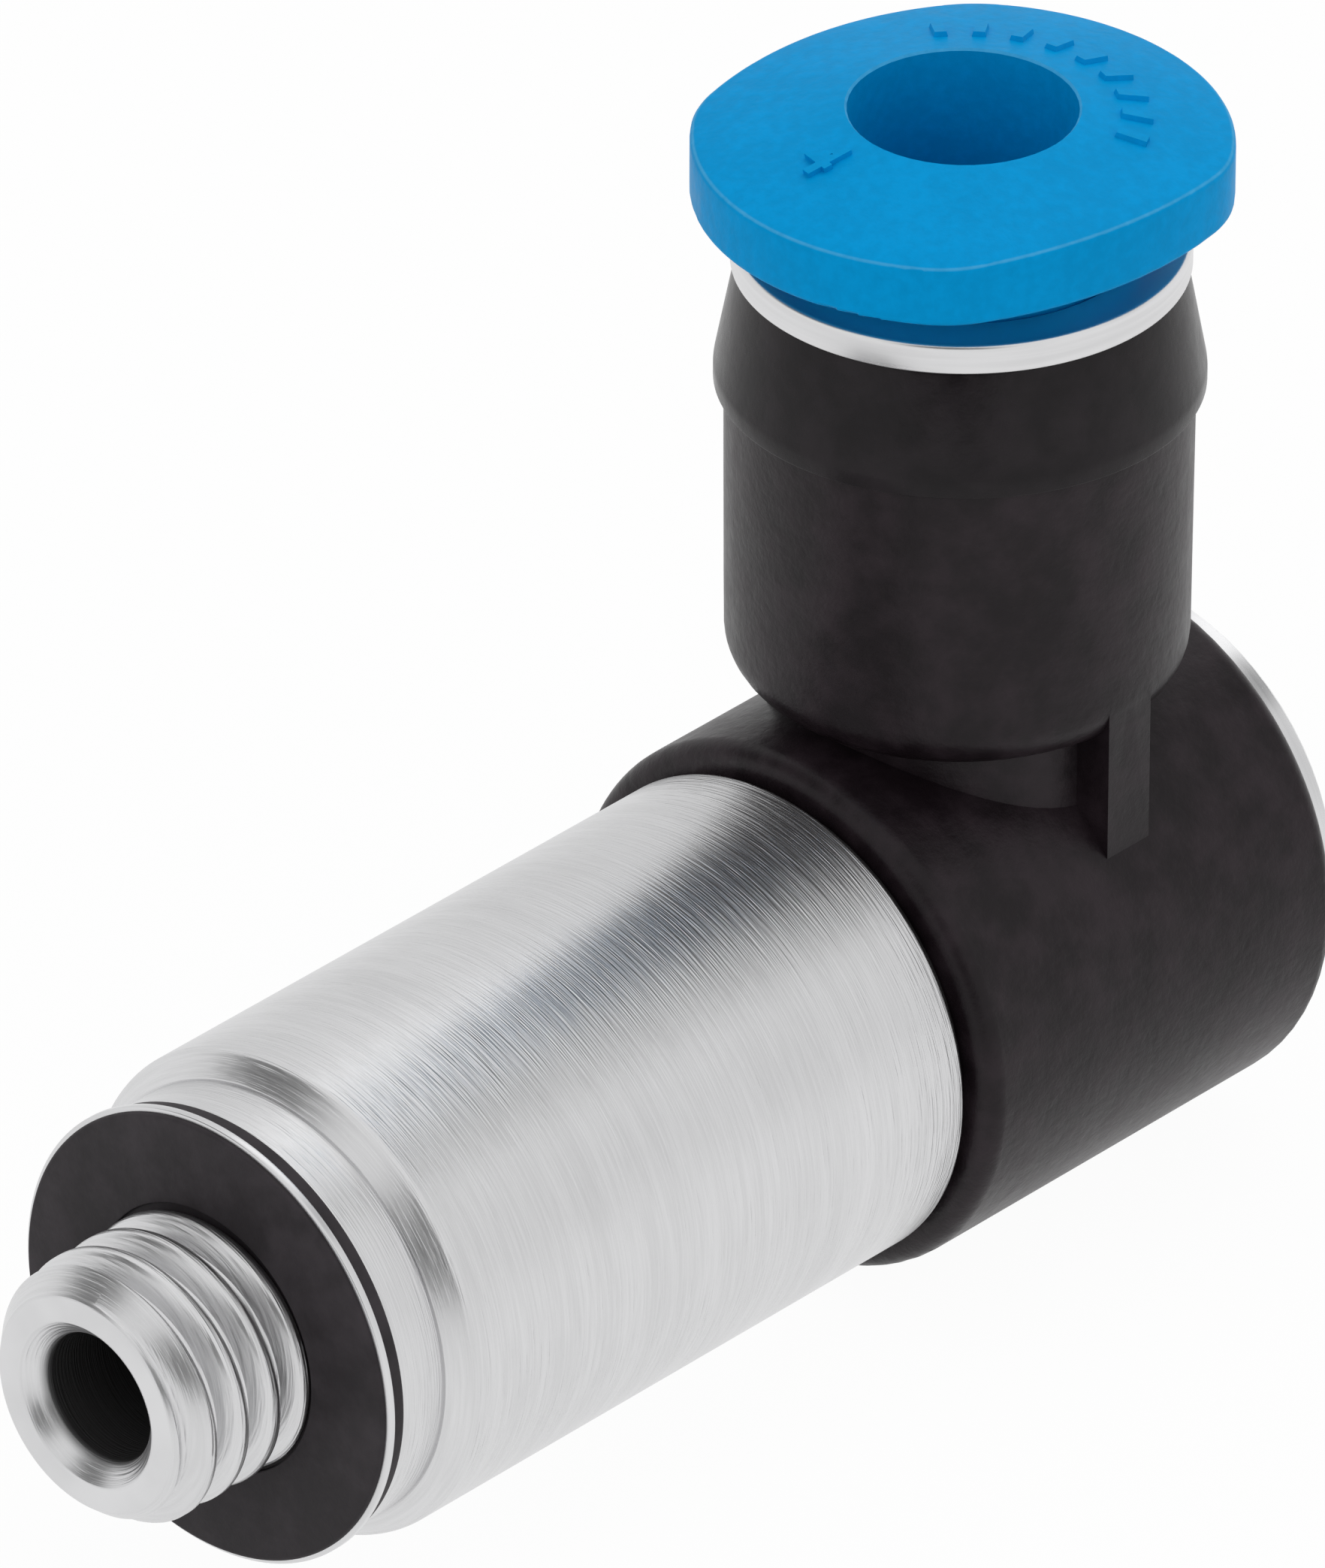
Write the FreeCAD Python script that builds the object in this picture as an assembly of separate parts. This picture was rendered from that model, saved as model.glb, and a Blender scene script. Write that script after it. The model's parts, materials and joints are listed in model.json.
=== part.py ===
"""Right-angle push-in fitting with a long swivelling stud.

The stud lies along X with its thread at -X, and the tube socket stands along +Z.
The origin is where the stud's axis crosses the front face of the sealing washer.
Lengths are in millimetres.
"""
import FreeCAD, Part
import math
import os

V = FreeCAD.Vector
X_AXIS = V(1, 0, 0)
Z_AXIS = V(0, 0, 1)
ORIGIN = V(0, 0, 0)

# ---- clearances ----
RUN_CLEARANCE = 0.05       # radial, between pieces that turn or slide in each other
SEAT_CLEARANCE = 0.02      # radial, between pieces that are pressed or dropped together
END_FLOAT = 0.03           # axial, each side of a piece that turns or is stacked

# ---- driving sizes ----
THREAD_RADIUS = 2.5        # M5
BARREL_RADIUS = 4.63
BARREL_LENGTH = 12.65      # the full-diameter stretch behind the cone
RING_LENGTH = 9.3
TUBE_RADIUS = 2.0          # 4 mm tube
SOCKET_WALL = 0.57

# ---- thread and bore ----
THREAD_LENGTH = 3.0
UNDERCUT_DEPTH = 0.3
TIP_CHAMFER = 0.45
TIP_CHAMFER_LENGTH = 0.55
BORE_RADIUS = 1.23
BORE_MOUTH_RADIUS = 1.58
BORE_MOUTH_DEPTH = 0.35

# ---- sealing washer, collar and barrel ----
GASKET_PROUD = 0.07        # rubber beyond the collar, radially
GASKET_RING_PROUD = 0.09   # metal ring beyond the rubber, radially
GASKET_FACE = 0.1          # rubber in front of the metal ring
GASKET_RING_THICKNESS = 0.16
GASKET_BACK = 0.34         # rubber behind the metal ring
GASKET_CORE = 0.45         # rubber inside the metal ring, radially
COLLAR_STEP = 0.46         # collar below the barrel, radially
COLLAR_LENGTH = 1.04
CONE_STEP = 0.05
CONE_LENGTH = 0.4
BARREL_EDGE = 0.08

# ---- spindle and its seals ----
JOURNAL_STEP = 1.13        # journal below the barrel, radially
SHANK_STEP = 0.7           # pressed end below the journal, radially
SHANK_LENGTH = 5.2
JOINT_SEAL_DIAMETER = 0.6  # cord of the static O-ring
JOINT_SEAL_OFFSET = 1.6    # from the barrel's rear face
O_RING_DIAMETER = 0.72
O_RING_GROOVE_WIDTH = 1.0
O_RING_OFFSET = 2.05       # groove's centre from each end of the housing ring
GALLERY_DEPTH = 1.1
GALLERY_WIDTH = 2.2
CROSS_HOLE_RADIUS = 0.85
SLIP_WASHER_THICKNESS = 0.2
SHOULDER_WIDTH = 0.9       # slip washers and rear disc beyond the journal, radially
DISC_THICKNESS = 0.55
DISC_EDGE = 0.15
HEX_ACROSS_FLATS = 2.5
HEX_DEPTH = 2.2
HEX_LEAD = 0.15

# ---- housing ring, neck and ribs ----
RING_WALL = 1.52
RING_EDGE = 0.4            # rounding of the ring's two rims
NECK_WALL = 1.35
SOCKET_RISE = 0.08         # underside of the socket above the ring's crown
SOCKET_EDGE = 0.95         # rounding of the socket's lower edge
SOCKET_DRAFT = 0.04
RIB_WIDTH = 1.1
RIB_INSET = 0.04           # rib's face inside the socket's side
FLOW_HOLE_RADIUS = 1.25

# ---- tube way and the stack in the socket ----
TUBE_CLEARANCE = 0.05
TUBE_STOP_RISE = 1.25      # above the socket's underside
POCKET_DEPTH = 1.8         # from the tube stop up to the seal cavity's floor
TUBE_SEAL_HEIGHT = 1.35
TUBE_SEAL_LIP = 0.45
GUIDE_THICKNESS = 0.3
SUPPORT_THICKNESS = 0.6
SUPPORT_BORE_STEP = 0.25   # beyond the tube's bore, radially
GRIP_THICKNESS = 0.16
GRIP_TOOTH_LENGTH = 0.82
GRIP_TOOTH_DROP = 0.42
GRIP_TOOTH_COUNT = 8
GRIP_SLOT_WIDTH = 0.3
GRIP_TIP_CLEARANCE = 0.03

# ---- cap and bush ----
CAP_HEIGHT = 2.35
CAP_LIP_STEP = 0.19
CAP_LIP_HEIGHT = 0.3
CAP_TOP_WALL = 0.41
SPIGOT_HEIGHT = 0.85
SPIGOT_WALL = 0.28
BUSH_LENGTH = 2.67         # below its flange
BUSH_WALL = 0.5
BUSH_FLANGE_STEP = 0.1     # flange beyond the cap's top, radially
BUSH_FLANGE_THICKNESS = 0.58
BUSH_EDGE = 0.06
BUSH_LIP_THICKNESS = 0.6
BUSH_RECESS_DEPTH = 0.98   # from the flange's top down to the lip

# ---- release ring ----
RELEASE_GAP = 0.77         # flange underside above the bush at rest, a little over its travel
SLEEVE_WALL = 0.63
SLEEVE_PLAY = 0.07         # radial, in the bush
SLEEVE_BEAD = 0.3
SLEEVE_BEAD_HEIGHT = 0.6
SLEEVE_SHOULDER = 0.49
SLEEVE_SHOULDER_DROP = 0.9
SLEEVE_SLOT_WIDTH = 0.6
SLEEVE_SLOT_HEIGHT = 1.5
FLANGE_LONG_RADIUS = 4.8
FLANGE_SHORT_RADIUS = 4.35
FLANGE_SIDE_ARC_RADIUS = 7.6
FLANGE_CORNER_RADIUS = 2.2
FLANGE_TURN = -10.0        # degrees, how far the oval is turned from the stud's line
FLANGE_WALL = 1.25         # height at the rim
FLANGE_CROWN = 0.5         # rise from the rim to the mouth
FLANGE_TOP_EDGE = 0.14
FLANGE_UNDER_EDGE = 0.12
MOUTH_LEAD = 0.05

# ---- radii worked out from the sizes above ----
COLLAR_RADIUS = BARREL_RADIUS - COLLAR_STEP
GASKET_RADIUS = COLLAR_RADIUS + GASKET_PROUD
GASKET_RING_RADIUS = GASKET_RADIUS + GASKET_RING_PROUD
UNDERCUT_RADIUS = THREAD_RADIUS - UNDERCUT_DEPTH
GASKET_BORE_RADIUS = UNDERCUT_RADIUS + RUN_CLEARANCE
GASKET_RING_BORE_RADIUS = GASKET_BORE_RADIUS + GASKET_CORE
JOURNAL_RADIUS = BARREL_RADIUS - JOURNAL_STEP
SHANK_RADIUS = JOURNAL_RADIUS - SHANK_STEP
SHANK_SEAT_RADIUS = SHANK_RADIUS + SEAT_CLEARANCE
GALLERY_RADIUS = JOURNAL_RADIUS - GALLERY_DEPTH
DISC_RADIUS = JOURNAL_RADIUS + SHOULDER_WIDTH
RING_BORE_RADIUS = JOURNAL_RADIUS + RUN_CLEARANCE
RING_RADIUS = RING_BORE_RADIUS + RING_WALL
TUBE_BORE_RADIUS = TUBE_RADIUS + TUBE_CLEARANCE
NECK_RADIUS = TUBE_BORE_RADIUS + NECK_WALL
SLEEVE_RADIUS = TUBE_BORE_RADIUS + SLEEVE_WALL
SLEEVE_BEAD_RADIUS = SLEEVE_RADIUS + SLEEVE_BEAD
SLEEVE_SHOULDER_RADIUS = SLEEVE_RADIUS + SLEEVE_SHOULDER
BUSH_LIP_RADIUS = SLEEVE_RADIUS + SLEEVE_PLAY
BUSH_POCKET_RADIUS = SLEEVE_BEAD_RADIUS + SLEEVE_PLAY
BUSH_RECESS_RADIUS = SLEEVE_SHOULDER_RADIUS + SLEEVE_PLAY
INSERT_RADIUS = BUSH_POCKET_RADIUS + BUSH_WALL
CAVITY_RADIUS = INSERT_RADIUS + SEAT_CLEARANCE
SPIGOT_RADIUS = CAVITY_RADIUS + SPIGOT_WALL
SOCKET_RADIUS = CAVITY_RADIUS + SOCKET_WALL
SOCKET_TOP_RADIUS = SOCKET_RADIUS + SOCKET_DRAFT
RIB_FACE = SOCKET_RADIUS - RIB_INSET
CAP_LIP_RADIUS = SOCKET_TOP_RADIUS + CAP_LIP_STEP
CAP_TOP_RADIUS = CAVITY_RADIUS + CAP_TOP_WALL
BUSH_FLANGE_RADIUS = CAP_TOP_RADIUS + BUSH_FLANGE_STEP
GRIP_RING_BORE_RADIUS = TUBE_RADIUS + GRIP_TIP_CLEARANCE + GRIP_TOOTH_LENGTH
SUPPORT_MOUTH_RADIUS = GRIP_RING_BORE_RADIUS + RUN_CLEARANCE
SUPPORT_BORE_RADIUS = TUBE_BORE_RADIUS + SUPPORT_BORE_STEP

# ---- places along the stud ----
GASKET_THICKNESS = GASKET_FACE + GASKET_RING_THICKNESS + GASKET_BACK
COLLAR_END = GASKET_THICKNESS + COLLAR_LENGTH
CONE_END = COLLAR_END + CONE_LENGTH
BARREL_END = CONE_END + BARREL_LENGTH
RING_START = BARREL_END + SLIP_WASHER_THICKNESS + END_FLOAT
RING_END = RING_START + RING_LENGTH
PORT_X = RING_START + RING_LENGTH / 2
DISC_START = RING_END + END_FLOAT + SLIP_WASHER_THICKNESS
DISC_END = DISC_START + DISC_THICKNESS
FRONT_SEAL_X = RING_START + O_RING_OFFSET
REAR_SEAL_X = RING_END - O_RING_OFFSET
JOINT_SEAL_X = BARREL_END - JOINT_SEAL_OFFSET

# ---- heights up the port ----
SOCKET_BASE = RING_RADIUS + SOCKET_RISE
ROUNDING_TOP = SOCKET_BASE + SOCKET_EDGE
TUBE_STOP = SOCKET_BASE + TUBE_STOP_RISE
CAVITY_FLOOR = TUBE_STOP + POCKET_DEPTH
SEAL_TOP = CAVITY_FLOOR + TUBE_SEAL_HEIGHT
GUIDE_BASE = SEAL_TOP + END_FLOAT
SUPPORT_BASE = GUIDE_BASE + GUIDE_THICKNESS + END_FLOAT
SUPPORT_TOP = SUPPORT_BASE + SUPPORT_THICKNESS
GRIP_BASE = SUPPORT_TOP + END_FLOAT
BUSH_BASE = GRIP_BASE + GRIP_THICKNESS + END_FLOAT
CAP_TOP = BUSH_BASE + BUSH_LENGTH
SOCKET_TOP = CAP_TOP - CAP_HEIGHT
SPIGOT_TOP = SOCKET_TOP + SPIGOT_HEIGHT
BUSH_TOP = CAP_TOP + BUSH_FLANGE_THICKNESS
BUSH_LIP_TOP = BUSH_TOP - BUSH_RECESS_DEPTH
BUSH_LIP_BOTTOM = BUSH_LIP_TOP - BUSH_LIP_THICKNESS
SLEEVE_BEAD_TOP = BUSH_LIP_BOTTOM - END_FLOAT
SLEEVE_TIP = SLEEVE_BEAD_TOP - SLEEVE_BEAD_HEIGHT
FLANGE_BASE = BUSH_TOP + RELEASE_GAP
FLANGE_RIM = FLANGE_BASE + FLANGE_WALL
FLANGE_MOUTH = FLANGE_RIM + FLANGE_CROWN


def arc_point(centre, radius, degrees):
    turn = math.radians(degrees)
    return (centre[0] + radius * math.cos(turn), centre[1] + radius * math.sin(turn))


def turned_x(outline):
    """Solid of revolution about the stud's axis from (x, radius) corners."""
    corners = [V(x, 0, r) for x, r in outline]
    face = Part.Face(Part.makePolygon(corners + corners[:1]))
    return face.revolve(ORIGIN, X_AXIS, 360)


def turned_port(outline):
    """Solid of revolution about the port's axis from (radius, height) corners."""
    corners = [V(PORT_X + r, 0, z) for r, z in outline]
    face = Part.Face(Part.makePolygon(corners + corners[:1]))
    return face.revolve(V(PORT_X, 0, 0), Z_AXIS, 360)


def ring_x(x, length, outer, inner):
    return turned_x([(x, inner), (x, outer), (x + length, outer), (x + length, inner)])


def ring_port(z, height, outer, inner):
    return turned_port([(inner, z), (outer, z), (outer, z + height), (inner, z + height)])


def rod_port(z, height, radius):
    return Part.makeCylinder(radius, height, V(PORT_X, 0, z))


def box_port(size_x, size_y, z, height):
    """Box centred on the port's axis."""
    return Part.makeBox(size_x, size_y, height, V(PORT_X - size_x / 2, -size_y / 2, z))


def export(node, shape):
    shape = shape.removeSplitter()
    if len(shape.Solids) == 1:
        shape = shape.Solids[0]
    shape.exportStep(os.path.join("parts", node + ".step"))
    print("%-22s solids %d  volume %8.3f" % (node, len(shape.Solids), shape.Volume))


# ---- stud ----
def threaded_barrel():
    outer = [
        (-THREAD_LENGTH, BORE_MOUTH_RADIUS),
        (-THREAD_LENGTH, THREAD_RADIUS - TIP_CHAMFER),
        (-THREAD_LENGTH + TIP_CHAMFER_LENGTH, THREAD_RADIUS),
        (-UNDERCUT_DEPTH, THREAD_RADIUS),
        (0, UNDERCUT_RADIUS),
        (GASKET_THICKNESS, UNDERCUT_RADIUS),
        (GASKET_THICKNESS, COLLAR_RADIUS),
        (COLLAR_END, COLLAR_RADIUS),
        (COLLAR_END, COLLAR_RADIUS + CONE_STEP),
        (CONE_END, BARREL_RADIUS),
        (BARREL_END - BARREL_EDGE, BARREL_RADIUS),
        (BARREL_END, BARREL_RADIUS - BARREL_EDGE),
    ]
    inner = [
        (BARREL_END, SHANK_SEAT_RADIUS),
        (BARREL_END - SHANK_LENGTH, SHANK_SEAT_RADIUS),
        (BARREL_END - SHANK_LENGTH, BORE_RADIUS),
        (-THREAD_LENGTH + BORE_MOUTH_DEPTH, BORE_RADIUS),
    ]
    return turned_x(outer + inner)


def gasket_ring():
    return ring_x(GASKET_FACE, GASKET_RING_THICKNESS, GASKET_RING_RADIUS, GASKET_RING_BORE_RADIUS)


def gasket_rubber():
    whole = turned_x([
        (0, THREAD_RADIUS + RUN_CLEARANCE),
        (0, GASKET_RADIUS),
        (GASKET_THICKNESS, GASKET_RADIUS),
        (GASKET_THICKNESS, GASKET_BORE_RADIUS),
        (GASKET_FACE, GASKET_BORE_RADIUS),
    ])
    slot = ring_x(GASKET_FACE, GASKET_RING_THICKNESS, 2 * GASKET_RADIUS, GASKET_RING_BORE_RADIUS)
    return whole.cut(slot)


def groove_x(centre, width, bottom):
    """Cutter for a groove round the spindle, wider than any of its steps."""
    return ring_x(centre - width / 2, width, 2 * JOURNAL_RADIUS, bottom)


def swivel_spindle():
    shank_start = BARREL_END - SHANK_LENGTH + END_FLOAT
    bore_end = PORT_X + GALLERY_WIDTH / 2
    body = turned_x([
        (shank_start, BORE_RADIUS),
        (shank_start, SHANK_RADIUS),
        (BARREL_END, SHANK_RADIUS),
        (BARREL_END, JOURNAL_RADIUS),
        (DISC_START, JOURNAL_RADIUS),
        (DISC_START, DISC_RADIUS),
        (DISC_END - DISC_EDGE, DISC_RADIUS),
        (DISC_END, DISC_RADIUS - DISC_EDGE),
        (DISC_END, 0),
        (bore_end, 0),
        (bore_end, BORE_RADIUS),
    ])
    seal_groove = RING_BORE_RADIUS - O_RING_DIAMETER
    joint_width = O_RING_GROOVE_WIDTH * JOINT_SEAL_DIAMETER / O_RING_DIAMETER
    body = body.cut([
        groove_x(PORT_X, GALLERY_WIDTH, GALLERY_RADIUS),
        groove_x(FRONT_SEAL_X, O_RING_GROOVE_WIDTH, seal_groove),
        groove_x(REAR_SEAL_X, O_RING_GROOVE_WIDTH, seal_groove),
        groove_x(JOINT_SEAL_X, joint_width, SHANK_SEAT_RADIUS - JOINT_SEAL_DIAMETER),
    ])
    for axis in (V(0, 1, 0), Z_AXIS):
        start = V(PORT_X, 0, 0) - axis * JOURNAL_RADIUS
        body = body.cut(Part.makeCylinder(CROSS_HOLE_RADIUS, 2 * JOURNAL_RADIUS, start, axis))
    return body.cut(hex_socket())


def hex_socket():
    corner = HEX_ACROSS_FLATS / 2 / math.cos(math.radians(30))
    points = []
    for i in range(7):
        y, z = arc_point((0, 0), corner, 60 * i)
        points.append(V(DISC_END - HEX_DEPTH, y, z))
    prism = Part.Face(Part.makePolygon(points)).extrude(V(HEX_DEPTH + 1, 0, 0))
    lead = Part.makeCone(corner - HEX_LEAD, corner + HEX_LEAD, 2 * HEX_LEAD,
                         V(DISC_END - HEX_LEAD, 0, 0), X_AXIS)
    return prism.fuse(lead)


def o_ring(x, cord_diameter, outer):
    """Ring in its squeezed size, just clear of the groove and of the bore of radius outer."""
    cord = cord_diameter / 2 - SEAT_CLEARANCE / 2
    return Part.makeTorus(outer - cord_diameter / 2, cord, V(x, 0, 0), X_AXIS)


def front_o_ring():
    return o_ring(FRONT_SEAL_X, O_RING_DIAMETER, RING_BORE_RADIUS)


def rear_o_ring():
    return o_ring(REAR_SEAL_X, O_RING_DIAMETER, RING_BORE_RADIUS)


def spindle_joint_o_ring():
    return o_ring(JOINT_SEAL_X, JOINT_SEAL_DIAMETER, SHANK_SEAT_RADIUS)


def slip_washer(x):
    return ring_x(x, SLIP_WASHER_THICKNESS, DISC_RADIUS, JOURNAL_RADIUS + SEAT_CLEARANCE)


def front_slip_washer():
    return slip_washer(BARREL_END)


def rear_slip_washer():
    return slip_washer(DISC_START - SLIP_WASHER_THICKNESS)


# ---- elbow ----
def rounded_rims(solid, radius, places):
    """Solid of revolution with the circular edges that pass through places rounded."""
    rims = [e for e in solid.Edges for p in places if e.isClosed()
            and e.distToShape(Part.Vertex(p))[0] < 0.001]
    return solid.makeFillet(radius, rims)


def elbow_housing():
    ring = Part.makeCylinder(RING_RADIUS, RING_LENGTH, V(RING_START, 0, 0), X_AXIS)
    ring = rounded_rims(ring, RING_EDGE, [V(x, 0, RING_RADIUS) for x in (RING_START, RING_END)])
    socket = turned_port([
        (0, SOCKET_BASE),
        (SOCKET_RADIUS, SOCKET_BASE),
        (SOCKET_TOP_RADIUS, SOCKET_TOP),
        (SPIGOT_RADIUS, SOCKET_TOP),
        (SPIGOT_RADIUS, SPIGOT_TOP),
        (0, SPIGOT_TOP),
    ])
    socket = rounded_rims(socket, SOCKET_EDGE, [V(PORT_X + SOCKET_RADIUS, 0, SOCKET_BASE)])
    neck = rod_port(0, ROUNDING_TOP, NECK_RADIUS)
    ribs = box_port(RIB_WIDTH, 2 * RIB_FACE, 0, ROUNDING_TOP)
    body = ring.fuse([socket, neck, ribs])
    bore = Part.makeCylinder(RING_BORE_RADIUS, RING_LENGTH + 2, V(RING_START - 1, 0, 0), X_AXIS)
    passages = [
        rod_port(0, SPIGOT_TOP, FLOW_HOLE_RADIUS),
        rod_port(TUBE_STOP, SPIGOT_TOP, TUBE_BORE_RADIUS),
        rod_port(CAVITY_FLOOR, SPIGOT_TOP, CAVITY_RADIUS),
    ]
    return body.cut([bore] + passages)


def socket_cap():
    step_top = SPIGOT_TOP + END_FLOAT
    return turned_port([
        (SPIGOT_RADIUS + SEAT_CLEARANCE, SOCKET_TOP),
        (CAP_LIP_RADIUS, SOCKET_TOP),
        (CAP_LIP_RADIUS, SOCKET_TOP + CAP_LIP_HEIGHT),
        (CAP_TOP_RADIUS, CAP_TOP),
        (CAVITY_RADIUS, CAP_TOP),
        (CAVITY_RADIUS, step_top),
        (SPIGOT_RADIUS + SEAT_CLEARANCE, step_top),
    ])


def metal_bush():
    return turned_port([
        (BUSH_POCKET_RADIUS, BUSH_BASE),
        (INSERT_RADIUS, BUSH_BASE),
        (INSERT_RADIUS, CAP_TOP),
        (BUSH_FLANGE_RADIUS, CAP_TOP),
        (BUSH_FLANGE_RADIUS, BUSH_TOP - BUSH_EDGE),
        (BUSH_FLANGE_RADIUS - BUSH_EDGE, BUSH_TOP),
        (BUSH_RECESS_RADIUS, BUSH_TOP),
        (BUSH_RECESS_RADIUS, BUSH_LIP_TOP),
        (BUSH_LIP_RADIUS, BUSH_LIP_TOP),
        (BUSH_LIP_RADIUS, BUSH_LIP_BOTTOM),
        (BUSH_POCKET_RADIUS, BUSH_LIP_BOTTOM),
    ])


def tube_seal():
    lip_wall = (INSERT_RADIUS - TUBE_BORE_RADIUS) / 3
    return turned_port([
        (TUBE_BORE_RADIUS + lip_wall, CAVITY_FLOOR),
        (INSERT_RADIUS, CAVITY_FLOOR),
        (INSERT_RADIUS, SEAL_TOP),
        (TUBE_BORE_RADIUS + lip_wall, SEAL_TOP),
        (TUBE_BORE_RADIUS, SEAL_TOP - TUBE_SEAL_LIP),
        (TUBE_BORE_RADIUS, CAVITY_FLOOR + TUBE_SEAL_LIP),
    ])


def seal_guide_ring():
    return ring_port(GUIDE_BASE, GUIDE_THICKNESS, INSERT_RADIUS, TUBE_BORE_RADIUS)


def grip_support_ring():
    return turned_port([
        (SUPPORT_BORE_RADIUS, SUPPORT_BASE),
        (INSERT_RADIUS, SUPPORT_BASE),
        (INSERT_RADIUS, SUPPORT_TOP),
        (SUPPORT_MOUTH_RADIUS, SUPPORT_TOP),
    ])


def grip_ring():
    tip = TUBE_RADIUS + GRIP_TIP_CLEARANCE
    top = GRIP_BASE + GRIP_THICKNESS
    outer = INSERT_RADIUS - RUN_CLEARANCE
    ring = turned_port([
        (GRIP_RING_BORE_RADIUS, GRIP_BASE),
        (outer, GRIP_BASE),
        (outer, top),
        (GRIP_RING_BORE_RADIUS, top),
        (tip, top - GRIP_TOOTH_DROP),
        (tip, top - GRIP_TOOTH_DROP - GRIP_THICKNESS * 0.6),
    ])
    slot_reach = GRIP_RING_BORE_RADIUS + GRIP_SLOT_WIDTH / 2
    slot_base = GRIP_BASE - 2 * GRIP_TOOTH_DROP
    slot = Part.makeBox(slot_reach, GRIP_SLOT_WIDTH, 1, V(PORT_X, -GRIP_SLOT_WIDTH / 2, slot_base))
    for i in range(GRIP_TOOTH_COUNT):
        cutter = slot.copy()
        cutter.rotate(V(PORT_X, 0, 0), Z_AXIS, 360 * i / GRIP_TOOTH_COUNT)
        ring = ring.cut(cutter)
    return ring


# ---- release ring ----
def oval_prism(z, height):
    """Round disc with its two sides cut back to shallow arcs, corners blended."""
    disc = Part.makeCylinder(FLANGE_LONG_RADIUS, height, V(0, 0, z))
    for side in (1, -1):
        centre = V(0, side * (FLANGE_SHORT_RADIUS - FLANGE_SIDE_ARC_RADIUS), z)
        disc = disc.common(Part.makeCylinder(FLANGE_SIDE_ARC_RADIUS, height, centre))
    corners = [e for e in disc.Edges if len(e.Vertexes) == 2 and
               abs(e.Vertexes[0].X - e.Vertexes[1].X) < 1e-6 and abs(e.Length - height) < 1e-6]
    disc = disc.makeFillet(FLANGE_CORNER_RADIUS, corners)
    disc.rotate(ORIGIN, Z_AXIS, FLANGE_TURN)
    disc.translate(V(PORT_X, 0, 0))
    return disc


def release_ring():
    flange = oval_prism(FLANGE_BASE, FLANGE_WALL + FLANGE_CROWN)
    slope = FLANGE_CROWN / (FLANGE_SHORT_RADIUS - TUBE_BORE_RADIUS)
    reach = 2 * FLANGE_LONG_RADIUS
    tip = FLANGE_MOUTH + slope * TUBE_BORE_RADIUS
    crown = turned_port([
        (0, FLANGE_BASE - 1),
        (reach, FLANGE_BASE - 1),
        (reach, tip - slope * reach),
        (0, tip),
    ])
    flange = flange.common(crown)
    top_edges = [e for e in flange.Edges if e.BoundBox.ZLength < FLANGE_CROWN
                 and e.BoundBox.ZMin > FLANGE_RIM - FLANGE_CROWN]
    flange = flange.makeFillet(FLANGE_TOP_EDGE, top_edges)
    under_edges = [e for e in flange.Edges if e.BoundBox.ZMax < FLANGE_BASE + 0.001]
    flange = flange.makeFillet(FLANGE_UNDER_EDGE, under_edges)
    sleeve = turned_port([
        (0, SLEEVE_TIP),
        (SLEEVE_BEAD_RADIUS - SLEEVE_BEAD_HEIGHT / 3, SLEEVE_TIP),
        (SLEEVE_BEAD_RADIUS, SLEEVE_TIP + SLEEVE_BEAD_HEIGHT / 2),
        (SLEEVE_BEAD_RADIUS, SLEEVE_BEAD_TOP),
        (SLEEVE_RADIUS, SLEEVE_BEAD_TOP),
        (SLEEVE_RADIUS, FLANGE_BASE - SLEEVE_SHOULDER_DROP),
        (SLEEVE_SHOULDER_RADIUS, FLANGE_BASE - SLEEVE_SHOULDER_DROP),
        (SLEEVE_SHOULDER_RADIUS, FLANGE_BASE + FLANGE_WALL / 2),
        (0, FLANGE_BASE + FLANGE_WALL / 2),
    ])
    body = flange.fuse(sleeve)
    mouth = turned_port([
        (0, FLANGE_MOUTH - MOUTH_LEAD),
        (TUBE_BORE_RADIUS, FLANGE_MOUTH - MOUTH_LEAD),
        (TUBE_BORE_RADIUS + 2 * MOUTH_LEAD, FLANGE_MOUTH + MOUTH_LEAD),
        (0, FLANGE_MOUTH + MOUTH_LEAD),
    ])
    hole = rod_port(SLEEVE_TIP - 1, FLANGE_MOUTH - SLEEVE_TIP + 2, TUBE_BORE_RADIUS)
    body = body.cut([hole, mouth])
    for turn in (45, 135):
        slot = box_port(2 * SLEEVE_SHOULDER_RADIUS, SLEEVE_SLOT_WIDTH, SLEEVE_TIP - 1,
                        SLEEVE_SLOT_HEIGHT + 1)
        slot.rotate(V(PORT_X, 0, 0), Z_AXIS, turn)
        body = body.cut(slot)
    return body


PIECES = [
    threaded_barrel, gasket_ring, gasket_rubber, swivel_spindle, spindle_joint_o_ring,
    front_slip_washer, rear_slip_washer, front_o_ring, rear_o_ring,
    elbow_housing, socket_cap, metal_bush, tube_seal, seal_guide_ring, grip_support_ring,
    grip_ring, release_ring,
]

os.makedirs("parts", exist_ok=True)
for piece in PIECES:
    export(piece.__name__, piece())
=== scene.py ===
"""Finished looks for a right-angle push-in fitting with a long swivelling stud.

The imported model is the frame. Sizes are in millimetres while a piece is modelled,
and each finished piece is brought to metres in the frame's own place.
"""
import json
import math

import bmesh
import bpy
from mathutils import Matrix, Vector

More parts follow.
